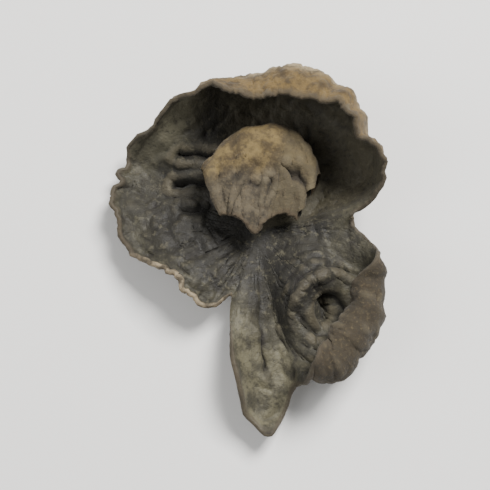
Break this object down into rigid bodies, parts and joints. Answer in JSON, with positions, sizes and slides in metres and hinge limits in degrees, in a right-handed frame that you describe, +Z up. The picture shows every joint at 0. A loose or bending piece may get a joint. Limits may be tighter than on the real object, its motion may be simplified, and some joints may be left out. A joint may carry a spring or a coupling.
{
  "type": "wood ear mushroom",
  "caption": "Dried wood ear mushroom lying on its back: a dark crumpled cup with a tan felted outside, an inrolled brow, a curled side lobe, a tail and a folded inner lobe on a short cut base.",
  "frame": {"origin": "Bottom centre of the bounding box: z = 0 is the flat cut of the base, the plane the mushroom rests on.", "axes": "+Z up out of the dark inner face, +Y from the tail tip toward the inrolled brow, +X from the broad shield side toward the curled side lobe."},
  "size_m": [0.036, 0.0478, 0.0166],
  "materials": {
    "wood_ear_flesh": "matte"
  },
  "bodies": {
    "root": {"wood_ear": "wood_ear_flesh"}
  },
  "joints": []
}
